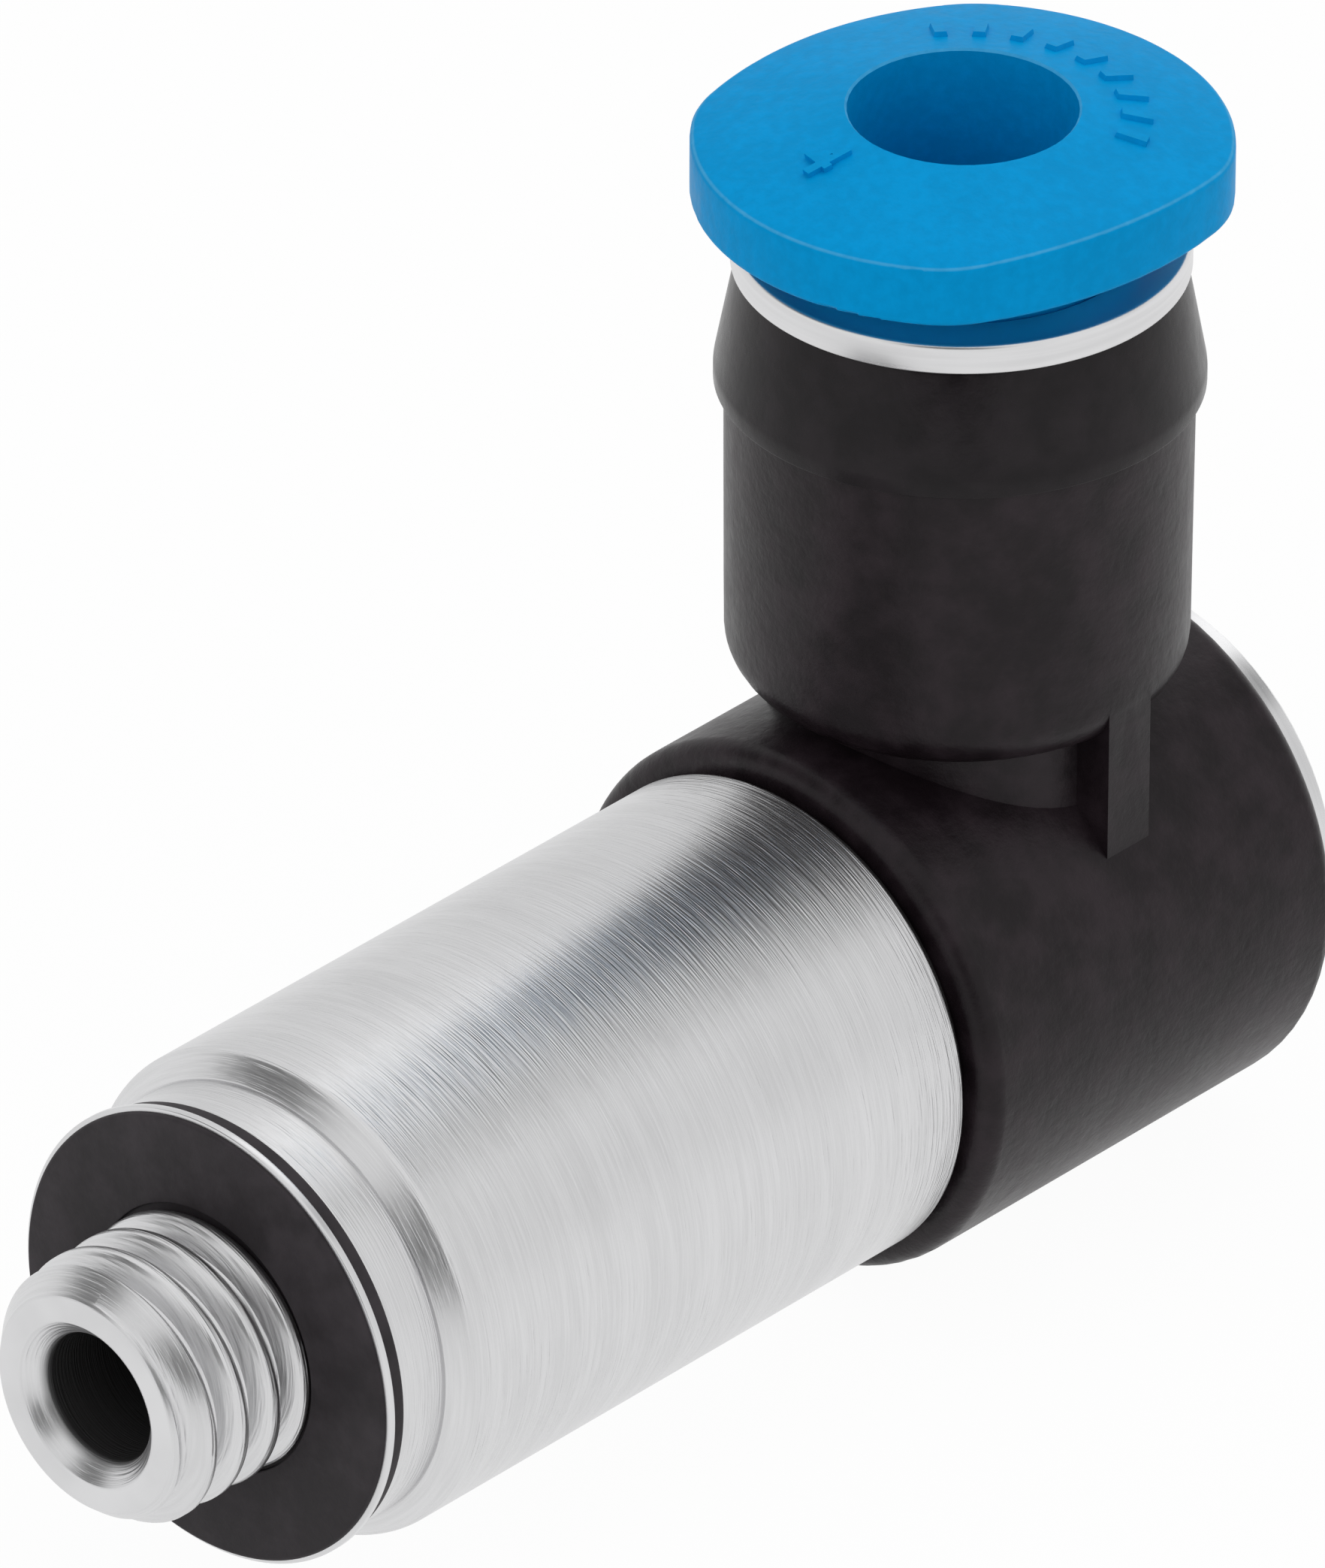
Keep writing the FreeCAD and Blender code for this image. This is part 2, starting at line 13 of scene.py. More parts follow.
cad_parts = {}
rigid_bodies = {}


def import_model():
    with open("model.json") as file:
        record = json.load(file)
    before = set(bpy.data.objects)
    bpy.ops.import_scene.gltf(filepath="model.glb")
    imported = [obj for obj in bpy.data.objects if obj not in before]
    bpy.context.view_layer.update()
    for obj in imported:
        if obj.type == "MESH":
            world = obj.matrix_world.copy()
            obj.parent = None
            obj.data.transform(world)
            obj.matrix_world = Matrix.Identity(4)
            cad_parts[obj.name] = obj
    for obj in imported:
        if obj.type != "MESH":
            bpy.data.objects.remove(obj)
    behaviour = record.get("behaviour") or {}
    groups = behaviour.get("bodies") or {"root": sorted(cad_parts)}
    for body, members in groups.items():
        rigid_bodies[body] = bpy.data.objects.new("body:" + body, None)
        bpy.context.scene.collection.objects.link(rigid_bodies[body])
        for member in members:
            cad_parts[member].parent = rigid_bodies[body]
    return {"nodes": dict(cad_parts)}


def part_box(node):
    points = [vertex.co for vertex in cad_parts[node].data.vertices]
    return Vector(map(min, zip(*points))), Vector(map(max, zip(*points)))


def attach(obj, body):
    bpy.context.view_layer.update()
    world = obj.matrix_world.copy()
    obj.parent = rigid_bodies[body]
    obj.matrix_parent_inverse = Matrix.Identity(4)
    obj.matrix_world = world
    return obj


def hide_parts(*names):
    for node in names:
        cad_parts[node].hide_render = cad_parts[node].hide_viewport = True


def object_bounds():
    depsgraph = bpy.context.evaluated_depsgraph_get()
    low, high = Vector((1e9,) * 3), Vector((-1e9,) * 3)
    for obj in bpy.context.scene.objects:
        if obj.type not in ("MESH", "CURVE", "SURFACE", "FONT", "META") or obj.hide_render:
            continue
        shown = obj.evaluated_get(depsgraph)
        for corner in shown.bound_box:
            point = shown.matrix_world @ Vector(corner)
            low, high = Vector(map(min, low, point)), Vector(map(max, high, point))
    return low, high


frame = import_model()
CAD_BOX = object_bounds()

bl_info = {
    "name": "Push-in elbow fitting",
    "version": (1, 0, 0),
    "blender": (4, 5, 0),
    "location": "View3D > Sidebar > Fitting",
    "description": "Finished pieces, materials and studio for a right-angle push-in fitting",
    "category": "Object",
}

MM = 0.001
TURN_STEPS = 160
ROUND_STEPS = 4
SAME_PLACE = 0.0005
SMOOTH_ANGLE = math.radians(32)


def extent(node, axis, end):
    """One side of a CAD node's box, in millimetres."""
    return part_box(node)[end][axis] / MM


# ---- places taken from the frame ----
TIP_X = extent("threaded_barrel", 0, 0)
BARREL_END = extent("threaded_barrel", 0, 1)
BARREL_RADIUS = extent("threaded_barrel", 1, 1)
WASHER_END = extent("gasket_rubber", 0, 1)
WASHER_RADIUS = extent("gasket_rubber", 1, 1)
WASHER_RING_START = extent("gasket_ring", 0, 0)
WASHER_RING_END = extent("gasket_ring", 0, 1)
WASHER_RING_RADIUS = extent("gasket_ring", 1, 1)
RING_START = extent("elbow_housing", 0, 0)
RING_END = extent("elbow_housing", 0, 1)
PORT_X = (RING_START + RING_END) / 2
SOCKET_TOP = extent("socket_cap", 2, 0)
CAP_TOP = extent("socket_cap", 2, 1)
CAP_LIP_RADIUS = extent("socket_cap", 1, 1)
BUSH_BASE = extent("metal_bush", 2, 0)
BUSH_TOP = extent("metal_bush", 2, 1)
BUSH_RADIUS = extent("metal_bush", 1, 1)
FLOOR_Z = CAD_BOX[0].z

# ---- sizes of the stud ----
THREAD_RADIUS = 2.5
COLLAR_RADIUS = 4.17
COLLAR_END = 1.64
CONE_END = 2.04
CONE_START_RADIUS = 4.22
UNDERCUT_RADIUS = 2.2
UNDERCUT_START = 0.02
UNDERCUT_END = 0.08
BORE_RADIUS = 1.23
BORE_MOUTH_RADIUS = 1.58
BORE_MOUTH_DEPTH = 0.35
TIP_RADIUS = 2.05
TIP_CHAMFER_LENGTH = 0.55
SHANK_RADIUS = 2.82
SHANK_LENGTH = 5.2
THREAD_CUT_END = 0.05
WASHER_FRONT_BORE = 2.55
WASHER_BORE = 2.25
WASHER_SLOT_RADIUS = 2.7
WASHER_FINE_EDGE = 0.03
WASHER_FRONT_EDGE = 0.07
WASHER_BACK_EDGE = 0.08

# ---- the thread, for one pitch: share of the pitch along and share of the depth out ----
THREAD_FORM = ((0.05, 0.0), (0.1, 0.06), (0.28, 0.78), (0.34, 0.92), (0.42, 1.0), (0.58, 1.0),
               (0.66, 0.92), (0.72, 0.78), (0.9, 0.06), (0.95, 0.0), (1.0, 0.0))
THREAD_TURNS = 7
THREAD_STEPS = 96

# ---- sizes of the socket's cap and bush ----
CAP_SPIGOT_RADIUS = 3.87
CAP_BORE_RADIUS = 3.57
CAP_TOP_RADIUS = 3.98
CAP_LIP_HEIGHT = 0.3
CAP_STEP = 0.88
INSERT_RADIUS = 3.55
BUSH_POCKET_RADIUS = 3.05
BUSH_RECESS_RADIUS = 3.24
BUSH_RECESS_DEPTH = 0.98
BUSH_LIP_RADIUS = 2.75
BUSH_LIP_THICKNESS = 0.6

# ---- marks on the release ring ----
TUBE_BORE_RADIUS = 2.05
CROWN_TOP = 16.5
CROWN_SLOPE = 0.2174       # fall of the ring's top for each millimetre outwards
FIGURE_REACH = 3.0
FIGURE_TURN = 166
TICK_REACH = 3.05
TICK_TURNS = (-62, -48, -34, -20, -6, 8, 22, 36, 50)
TICK_WIDTH = 0.3
TICK_LENGTH = 0.62

# Darker parts of the room as the metal mirrors it: azimuth, elevation, inner and outer
# angle from there, all in degrees, and the share of light taken away.
DARK_PARTS = ((-53, 14, 17, 26, 0.93), (-139, 40, 16, 27, 0.92), (62, 44, 4, 13, 0.7),
              (138, 14, 12, 34, 0.16), (42, 14, 12, 30, 0.14))

# ---- studio ----
LAMP_DISTANCE = 0.4
MIRRORED_LAMP = ("strip_softbox", 104, 50, (0.22, 0.1), 0.042)
UNSEEN_LAMPS = (("key_light", 100, 60, (0.3, 0.2), 0.3), ("front_fill", -85, 42, (0.3, 0.3), 0.22),
                ("side_fill", 10, 30, (0.2, 0.3), 0.08))
LIT_MIDDLE = (0.6, 4)      # share of the way to the port, and height in millimetres
FLOOR_SIZE = 4
FLOOR_GLOW = 0.96
CAMERA_FOOT = (14.76, 0, 0)
CAMERA_AIM = (15.0, 2.896, 3.453)

# ---- colours that are not among the user's ----
# painted shade: the near-black colour given to the stud's bore wall in place of the shade down the
# hole
BORE_PAINTED_SHADE = (0.012, 0.011, 0.011)
GRIP_COLOUR = (0.56, 0.55, 0.53)
SLIP_COLOUR = (0.02, 0.019, 0.019)

STUD_LINE = (Vector((0, 0, 0)), Vector((1, 0, 0)), (0, math.pi / 2, 0))
PORT_LINE = (Vector((PORT_X, 0, 0)), Vector((0, 0, 1)), (0, 0, 0))


def linear(red, green, blue):
    """Scene-linear colour from display values of 0 to 255."""
    def one(level):
        share = level / 255
        return share / 12.92 if share <= 0.04045 else ((share + 0.055) / 1.055) ** 2.4
    return (one(red), one(green), one(blue))


# ---- what a user would change ----
class FittingSizes(bpy.types.PropertyGroup):
    """Sizes of the finished details."""
    thread_pitch: bpy.props.FloatProperty(
        name="Thread pitch", description="Distance from one thread to the next",
        default=0.0008, min=0.0003, max=0.0015, precision=5, subtype="DISTANCE")
    thread_depth: bpy.props.FloatProperty(
        name="Thread depth", description="Height of the thread, from root to crest",
        default=0.0004, min=0.0001, max=0.0008, precision=5, subtype="DISTANCE")
    metal_rounding: bpy.props.FloatProperty(
        name="Metal edges", description="Rounding of the turned metal's edges",
        default=0.00005, min=0.00001, max=0.0002, precision=5, subtype="DISTANCE")
    plastic_rounding: bpy.props.FloatProperty(
        name="Plastic edges", description="Rounding of the cap's edges",
        default=0.00007, min=0.00001, max=0.0002, precision=5, subtype="DISTANCE")
    figure_height: bpy.props.FloatProperty(
        name="Size figure", description="Height of the raised figure for the tube's size",
        default=0.00125, min=0.0005, max=0.002, precision=5, subtype="DISTANCE")
    figure_rise: bpy.props.FloatProperty(
        name="Figure's rise", description="How far the figure and ticks stand up",
        default=0.00009, min=0.00001, max=0.0002, precision=5, subtype="DISTANCE")


class FittingColours(bpy.types.PropertyGroup):
    """Colours of the finishes."""
    nickel: bpy.props.FloatVectorProperty(
        name="Nickel", description="Colour of the nickel plating",
        subtype="COLOR", min=0, max=1, default=linear(216, 216, 217))
    housing: bpy.props.FloatVectorProperty(
        name="Housing", description="Colour of the moulded elbow",
        subtype="COLOR", min=0, max=1, default=linear(26, 19, 23))
    cap: bpy.props.FloatVectorProperty(
        name="Cap", description="Colour of the socket's cap",
        subtype="COLOR", min=0, max=1, default=linear(21, 16, 19))
    rubber: bpy.props.FloatVectorProperty(
        name="Rubber", description="Colour of the washer and seals",
        subtype="COLOR", min=0, max=1, default=linear(46, 42, 45))
    release: bpy.props.FloatVectorProperty(
        name="Release ring", description="Colour of the release ring",
        subtype="COLOR", min=0, max=1, default=linear(0, 152, 217))


class StudioSettings(bpy.types.PropertyGroup):
    """Camera and light."""
    azimuth: bpy.props.FloatProperty(
        name="Azimuth", description="Direction of the camera round the fitting",
        default=math.radians(-48.05), subtype="ANGLE")
    elevation: bpy.props.FloatProperty(
        name="Elevation", description="Height of the camera above the horizon",
        default=math.radians(31.48), subtype="ANGLE")
    roll: bpy.props.FloatProperty(
        name="Roll", description="Turn of the camera about its own line of sight",
        default=math.radians(0.29), subtype="ANGLE")
    distance: bpy.props.FloatProperty(
        name="Distance", description="Distance of the camera from the elbow's ring",
        default=0.4739, min=0.1, max=2, subtype="DISTANCE")
    lens: bpy.props.FloatProperty(
        name="Lens", description="Focal length in millimetres", default=613.1, min=50, max=2000)
    room_light: bpy.props.FloatProperty(
        name="Room light", description="Strength of the even light from all round",
        default=0.62, min=0, max=2)


# ---- modelling ----
def start_editing(piece):
    bpy.ops.object.select_all(action="DESELECT")
    piece.select_set(True)
    bpy.context.view_layer.objects.active = piece
    bpy.ops.object.mode_set(mode="EDIT")
    bpy.ops.mesh.select_mode(type="VERT")
    bpy.ops.mesh.select_all(action="SELECT")


def stop_editing():
    bpy.ops.object.mode_set(mode="OBJECT")


def pick(piece, kind, test):
    """Selects just the edges or faces of the piece in edit mode that pass the test."""
    bpy.ops.mesh.select_mode(type=kind)
    bpy.ops.mesh.select_all(action="DESELECT")
    mesh = bmesh.from_edit_mesh(piece.data)
    for part in (mesh.edges if kind == "EDGE" else mesh.faces):
        if test(part):
            part.select_set(True)
    bmesh.update_edit_mesh(piece.data)


def clean_up():
    """Merges doubles and turns the faces outwards, in edit mode."""
    bpy.ops.mesh.select_all(action="SELECT")
    bpy.ops.mesh.remove_doubles(threshold=SAME_PLACE)
    bpy.ops.mesh.normals_make_consistent(inside=False)


def named(name):
    piece = bpy.context.object
    piece.name = name
    piece.data.name = name
    return piece


def turned(name, line, corners):
    """Piece turned about a line from its section's corners: along, radius and rounding."""
    foot, axis, lie = line
    along, radius = corners[0][:2]
    bpy.ops.object.select_all(action="DESELECT")
    bpy.ops.mesh.primitive_circle_add(vertices=TURN_STEPS, radius=radius,
                                      location=foot + axis * along, rotation=lie)
    piece = named(name)
    bpy.ops.object.transform_apply(location=True, rotation=True, scale=True)
    start_editing(piece)
    for (a, r, _), (b, s, _) in zip(corners, corners[1:] + corners[:1]):
        bpy.ops.mesh.extrude_region_move(TRANSFORM_OT_translate={"value": axis * (b - a)})
        bpy.ops.transform.resize(value=(s / r,) * 3, center_override=foot + axis * b)
    clean_up()
    for a, r, rounding in corners:
        if rounding:
            def on_corner(edge):
                for vert in edge.verts:
                    out = vert.co - foot
                    if abs(out.dot(axis) - a) > SAME_PLACE:
                        return False
                    if abs(out.cross(axis).length - r) > SAME_PLACE:
                        return False
                return True
            pick(piece, "EDGE", on_corner)
            bpy.ops.mesh.bevel(offset=rounding, segments=ROUND_STEPS, affect="EDGES")
    clean_up()
    stop_editing()
    return piece


def copied(name, node):
    """Merged copy of a CAD node's mesh, in millimetres."""
    piece = frame["nodes"][node].copy()
    piece.data = piece.data.copy()
    bpy.context.collection.objects.link(piece)
    bpy.ops.object.select_all(action="DESELECT")
    piece.select_set(True)
    bpy.context.view_layer.objects.active = piece
    bpy.ops.object.parent_clear(type="CLEAR_KEEP_TRANSFORM")
    bpy.ops.object.transform_apply(location=True, rotation=True, scale=True)
    named(name)
    piece.data.materials.clear()
    bpy.ops.mesh.customdata_custom_splitnormals_clear()
    start_editing(piece)
    bpy.ops.transform.resize(value=(1 / MM,) * 3, center_override=(0, 0, 0))
    clean_up()
    stop_editing()
    return piece


def apply_boolean(piece, other, operation):
    """Cuts, joins or intersects the piece with another, which is used up."""
    bpy.ops.object.select_all(action="DESELECT")
    bpy.context.view_layer.objects.active = piece
    piece.select_set(True)
    bpy.ops.object.modifier_add(type="BOOLEAN")
    modifier = piece.modifiers[-1]
    modifier.operation = operation
    modifier.solver = "EXACT"
    modifier.use_self = True
    modifier.object = other
    bpy.ops.object.modifier_apply(modifier=modifier.name)
    bpy.data.objects.remove(other)


def finish_piece(piece, body, material, slot, *nodes):
    """Brings the piece to metres, smooths it, and says what it rides on and replaces."""
    start_editing(piece)
    bpy.ops.transform.resize(value=(MM,) * 3, center_override=(0, 0, 0))
    stop_editing()
    bpy.ops.object.shade_smooth_by_angle(angle=SMOOTH_ANGLE, keep_sharp_edges=False)
    bpy.ops.object.modifier_add(type="WEIGHTED_NORMAL")
    piece.modifiers[-1].keep_sharp = True
    bpy.ops.object.modifier_apply(modifier=piece.modifiers[-1].name)
    piece.data.materials.clear()
    piece.data.materials.append(material)
    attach(piece, body)
    if nodes:
        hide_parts(*nodes)


# ---- materials ----
class Level:
    """A socket's value in an expression: each operation on it adds its Math node."""

    def __init__(self, finish, socket):
        self.finish = finish
        self.socket = socket

    def math(self, operation, *values):
        return self.finish.node("ShaderNodeMath", {"operation": operation},
                                dict(enumerate(values)))

    def __add__(self, other):
        return self.math("ADD", self, other)

    def __sub__(self, other):
        return self.math("SUBTRACT", self, other)

    def __rsub__(self, other):
        return self.math("SUBTRACT", other, self)

    def __mul__(self, other):
        return self.math("MULTIPLY", self, other)

    def __pow__(self, other):
        return self.math("POWER", self, other)

    def above(self, low, high):
        """0 below low, 1 above high, smooth between them."""
        return self.finish.node("ShaderNodeMapRange", {"interpolation_type": "SMOOTHSTEP"},
                                {"Value": self, "From Min": low, "From Max": high})


class Finish:
    """A node tree being built."""

    def __init__(self, tree):
        self.tree = tree
        self.tree.nodes.clear()

    def node(self, kind, settings=None, inputs=None, output=0):
        """Adds a node, with its settings first and then its sockets' values or links."""
        made = self.tree.nodes.new(kind)
        for key, value in (settings or {}).items():
            if key == "stops":
                ramp = made.color_ramp
                while len(ramp.elements) < len(value):
                    ramp.elements.new(1)
                for element, (place, colour) in zip(ramp.elements, value):
                    element.position = place
                    element.color = colour
            else:
                setattr(made, key, value)
        for key, value in (inputs or {}).items():
            if isinstance(value, Level):
                self.tree.links.new(value.socket, made.inputs[key])
            else:
                made.inputs[key].default_value = value
        return Level(self, made.outputs[output]) if made.outputs else None

    def place(self):
        return self.node("ShaderNodeTexCoord", output="Object")

    def noise(self, scale, stretch=(1, 1, 1), detail=3.0, roughness=0.55, shift=0.0):
        """Noise of about scale cells a millimetre, stretched by axis, from 0 to 1."""
        at = self.node("ShaderNodeMapping", None, {
            "Vector": self.place(), "Location": (shift, shift, shift),
            "Scale": tuple(s / MM for s in stretch)})
        return self.node("ShaderNodeTexNoise", None, {
            "Vector": at, "Scale": scale, "Detail": detail, "Roughness": roughness})

    def axes(self):
        """Object place in millimetres: x, y and z."""
        at = self.place()
        parts = [self.node("ShaderNodeSeparateXYZ", None, {0: at}, output=i) for i in range(3)]
        return [part * (1 / MM) for part in parts]

    def blend(self, factor, first, second):
        """Colour from first to second by factor."""
        made = self.tree.nodes.new("ShaderNodeMix")
        made.data_type = "RGBA"
        for index, value in ((0, factor), (6, first), (7, second)):
            if isinstance(value, Level):
                self.tree.links.new(value.socket, made.inputs[index])
            elif index:
                made.inputs[index].default_value = (*value[:3], 1)
            else:
                made.inputs[index].default_value = value
        return Level(self, made.outputs[2])

    def bump(self, height, depth, under=None):
        """Surface detail of height from 0 to 1, depth in millimetres."""
        inputs = {"Height": height, "Distance": depth * MM, "Strength": 1.0}
        if under:
            inputs["Normal"] = under
        return self.node("ShaderNodeBump", None, inputs)

    def surface(self, **sockets):
        shader = self.node("ShaderNodeBsdfPrincipled", None, {
            key.replace("_", " "): (*value, 1) if isinstance(value, tuple) and len(value) == 3
            else value for key, value in sockets.items()})
        self.node("ShaderNodeOutputMaterial", None, {"Surface": shader})


def material(name):
    made = bpy.data.materials.new(name)
    made.use_nodes = True
    return made, Finish(made.node_tree)


def brushed_metal(name, colour, line, roughness, depth, lines_per_mm=9.0, painted_bore_shade=0.0):
    """Turned and plated metal: fine lines run round the line that it was turned about, with
    painted shade in the stud's bore if asked.
    """
    made, finish = material(name)
    along = 0 if line is STUD_LINE else 2
    fine = [0.03, 0.03, 0.03]
    fine[along] = 1.0
    lines = finish.noise(lines_per_mm, tuple(fine), detail=2.0, roughness=0.5)
    broad = finish.noise(3.0, tuple(fine), detail=2.0, shift=7.0)
    cloud = finish.noise(0.55, detail=3.0, shift=3.0)
    specks = finish.noise(14.0, detail=2.0, shift=11.0)
    tone = lines * 0.5 + broad * 0.3 + cloud * 0.2
    bright = tuple(min(1.0, c * 1.04) for c in colour)
    dull = tuple(c * 0.93 for c in colour)
    base = finish.blend(tone.above(0.34, 0.66), dull, bright)
    rough = (lines - 0.5) * 0.12 + (cloud - 0.5) * 0.08 + specks.above(0.62, 0.75) * 0.05 + \
        roughness
    metallic = 1.0
    # Painted shade: the bore's wall inside the stud is coloured near black and made less metallic
    # by place, standing in for the shade that falls down the hole.
    if painted_bore_shade:
        x, y, z = finish.axes()
        radius = (y * y + z * z) ** 0.5
        inside = (1 - radius.above(BORE_RADIUS + 0.02, BORE_RADIUS + 0.16)) * \
            x.above(TIP_X + 0.12, TIP_X + 0.5)
        base = finish.blend(inside * painted_bore_shade, base, BORE_PAINTED_SHADE)
        metallic = 1 - inside * 0.8
    finish.surface(Base_Color=base, Metallic=metallic, Roughness=rough,
                   Normal=finish.bump(lines, depth))
    return made


def moulded_plastic(name, colour, roughness, grain, depth, specular=0.3, worn=0.5,
                    deep_share=0.8, mottling=1.3, painted_rim_highlight=False):
    """Moulded plastic: fine skin, soft mottling, paler rubbed patches, and if asked a painted
    highlight on the upper rim.
    """
    made, finish = material(name)
    skin = finish.noise(grain, detail=5.0, roughness=0.62)
    mottle = finish.noise(mottling, detail=4.0, shift=5.0)
    flow = finish.noise(0.45, (1, 1, 0.4), detail=2.0, shift=9.0)
    pale = tuple(min(1.0, c * (1 + worn) + 0.004 * worn) for c in colour)
    deep = tuple(c * deep_share for c in colour)
    base = finish.blend((mottle * 0.6 + flow * 0.4).above(0.36, 0.68), deep, pale)
    # Painted highlight: a paler colour on the upper edge, chosen by the slope of the surface,
    # stands in for the light the rounded edge catches.
    if painted_rim_highlight:
        up = finish.node("ShaderNodeSeparateXYZ", None, {
            0: finish.node("ShaderNodeTexCoord", output="Normal")}, output=2)
        rim = up.above(0.5, 0.72) * (1 - up.above(0.8, 0.92))
        base = finish.blend(rim * (mottle * 0.4 + 0.12), base, linear(110, 190, 228))
    rough = (mottle - 0.5) * 0.16 + (skin - 0.5) * 0.12 + roughness
    normal = finish.bump(skin, depth)
    normal = finish.bump(mottle, depth * 1.8, normal)
    finish.surface(Base_Color=base, Roughness=rough, Normal=normal, Specular_IOR_Level=specular)
    return made


def finishes():
    """The materials by name, made once."""
    colours = bpy.context.scene.fitting_colours
    tint = {key: tuple(getattr(colours, key)) for key in
            ("nickel", "housing", "cap", "rubber", "release")}
    if "nickel_barrel" not in bpy.data.materials:
        # the barrel's bore gets painted shade
        brushed_metal("nickel_barrel", tint["nickel"], STUD_LINE, 0.34, 0.016,
                      lines_per_mm=24.0, painted_bore_shade=0.96)
        brushed_metal("nickel_spindle", tint["nickel"], STUD_LINE, 0.26, 0.002)
        brushed_metal("nickel_bush", tuple(c * 1.02 for c in tint["nickel"]), PORT_LINE,
                      0.3, 0.002)
        brushed_metal("washer_steel", tint["nickel"], STUD_LINE, 0.3, 0.001)
        brushed_metal("grip_steel", GRIP_COLOUR, PORT_LINE, 0.3, 0.001)
        moulded_plastic("housing_black", tint["housing"], 0.38, 5.0, 0.012,
                        specular=0.2, worn=0.9)
        moulded_plastic("cap_black", tint["cap"], 0.27, 4.0, 0.005, specular=0.2, worn=0.7)
        moulded_plastic("slip_black", SLIP_COLOUR, 0.45, 6.0, 0.004)
        moulded_plastic("washer_rubber", tint["rubber"], 0.6, 7.0, 0.006, specular=0.22)
        # the release ring's upper edge gets a painted highlight
        moulded_plastic("release_blue", tint["release"], 0.42, 6.0, 0.006, specular=0.03,
                        worn=0.05, deep_share=0.93, mottling=4.0, painted_rim_highlight=True)
    return bpy.data.materials


# ---- operators, one for each piece or group ----
class FITTING_OT_stud(bpy.types.Operator):
    """Model the turned stud with its cut thread, collar, cone and barrel"""
    bl_idname = "fitting.stud"
    bl_label = "Threaded stud"

    def execute(self, context):
        sizes = context.scene.fitting_sizes
        edge = sizes.metal_rounding / MM
        stud = turned("threaded_stud", STUD_LINE, [
            (TIP_X, TIP_RADIUS, edge),
            (TIP_X + TIP_CHAMFER_LENGTH, THREAD_RADIUS, 0),
            (UNDERCUT_START, THREAD_RADIUS, 0),
            (UNDERCUT_END, UNDERCUT_RADIUS, 0),
            (WASHER_END, UNDERCUT_RADIUS, 0),
            (WASHER_END, COLLAR_RADIUS, edge),
            (COLLAR_END, COLLAR_RADIUS, 0),
            (COLLAR_END, CONE_START_RADIUS, edge / 3),
            (CONE_END, BARREL_RADIUS, 2 * edge),
            (BARREL_END, BARREL_RADIUS, 1.6 * edge),
            (BARREL_END, SHANK_RADIUS, 0),
            (BARREL_END - SHANK_LENGTH, SHANK_RADIUS, 0),
            (BARREL_END - SHANK_LENGTH, BORE_RADIUS, 0),
            (TIP_X + BORE_MOUTH_DEPTH, BORE_RADIUS, edge),
            (TIP_X, BORE_MOUTH_RADIUS, edge),
        ])
        apply_boolean(stud, self.thread_form(sizes), "INTERSECT")
        start_editing(stud)
        clean_up()
        stop_editing()
        finish_piece(stud, "stud", finishes()["nickel_barrel"], "nickel_brass", "threaded_barrel")
        return {"FINISHED"}

    def thread_form(self, sizes):
        """Threaded rod past both ends of the thread, widening to clear the rest of the stud."""
        pitch, depth = sizes.thread_pitch / MM, sizes.thread_depth / MM
        root = THREAD_RADIUS - depth
        bpy.ops.object.select_all(action="DESELECT")
        bpy.ops.mesh.primitive_plane_add(size=1, location=(TIP_X - 2 * pitch, 0, root))
        rod = named("thread_form")
        bpy.ops.object.transform_apply(location=True, rotation=True, scale=True)
        start_editing(rod)
        bpy.ops.mesh.merge(type="CENTER")
        last = (0.0, 0.0)
        for point in THREAD_FORM:
            step = Vector(((point[0] - last[0]) * pitch, 0, (point[1] - last[1]) * depth))
            bpy.ops.mesh.extrude_region_move(TRANSFORM_OT_translate={"value": step})
            last = point
        stop_editing()
        bpy.ops.object.modifier_add(type="SCREW")
        screw = rod.modifiers[-1]
        screw.axis = "X"
        screw.screw_offset = pitch
        screw.iterations = THREAD_TURNS
        screw.steps = screw.render_steps = THREAD_STEPS
        screw.use_merge_vertices = True
        screw.merge_threshold = SAME_PLACE
        bpy.ops.object.modifier_apply(modifier=screw.name)
        start_editing(rod)
        bpy.ops.mesh.remove_doubles(threshold=SAME_PLACE)
        bpy.ops.mesh.bisect(plane_co=(TIP_X - pitch / 3, 0, 0), plane_no=(1, 0, 0),
                            use_fill=True, clear_inner=True)
        bpy.ops.mesh.select_all(action="SELECT")
        bpy.ops.mesh.bisect(plane_co=(THREAD_CUT_END, 0, 0), plane_no=(1, 0, 0),
                            use_fill=True, clear_outer=True)
        pick(rod, "FACE", lambda face: all(
            abs(vert.co.x - THREAD_CUT_END) < SAME_PLACE for vert in face.verts))
        wide = 2 * BARREL_RADIUS / THREAD_RADIUS
        centre = (THREAD_CUT_END, 0, 0)
        bpy.ops.mesh.extrude_region_move(TRANSFORM_OT_translate={"value": (0, 0, 0)})
        bpy.ops.transform.resize(value=(wide,) * 3, center_override=centre)
        bpy.ops.mesh.extrude_region_move(TRANSFORM_OT_translate={"value": (BARREL_END + 2, 0, 0)})
        clean_up()
        stop_editing()
        return rod


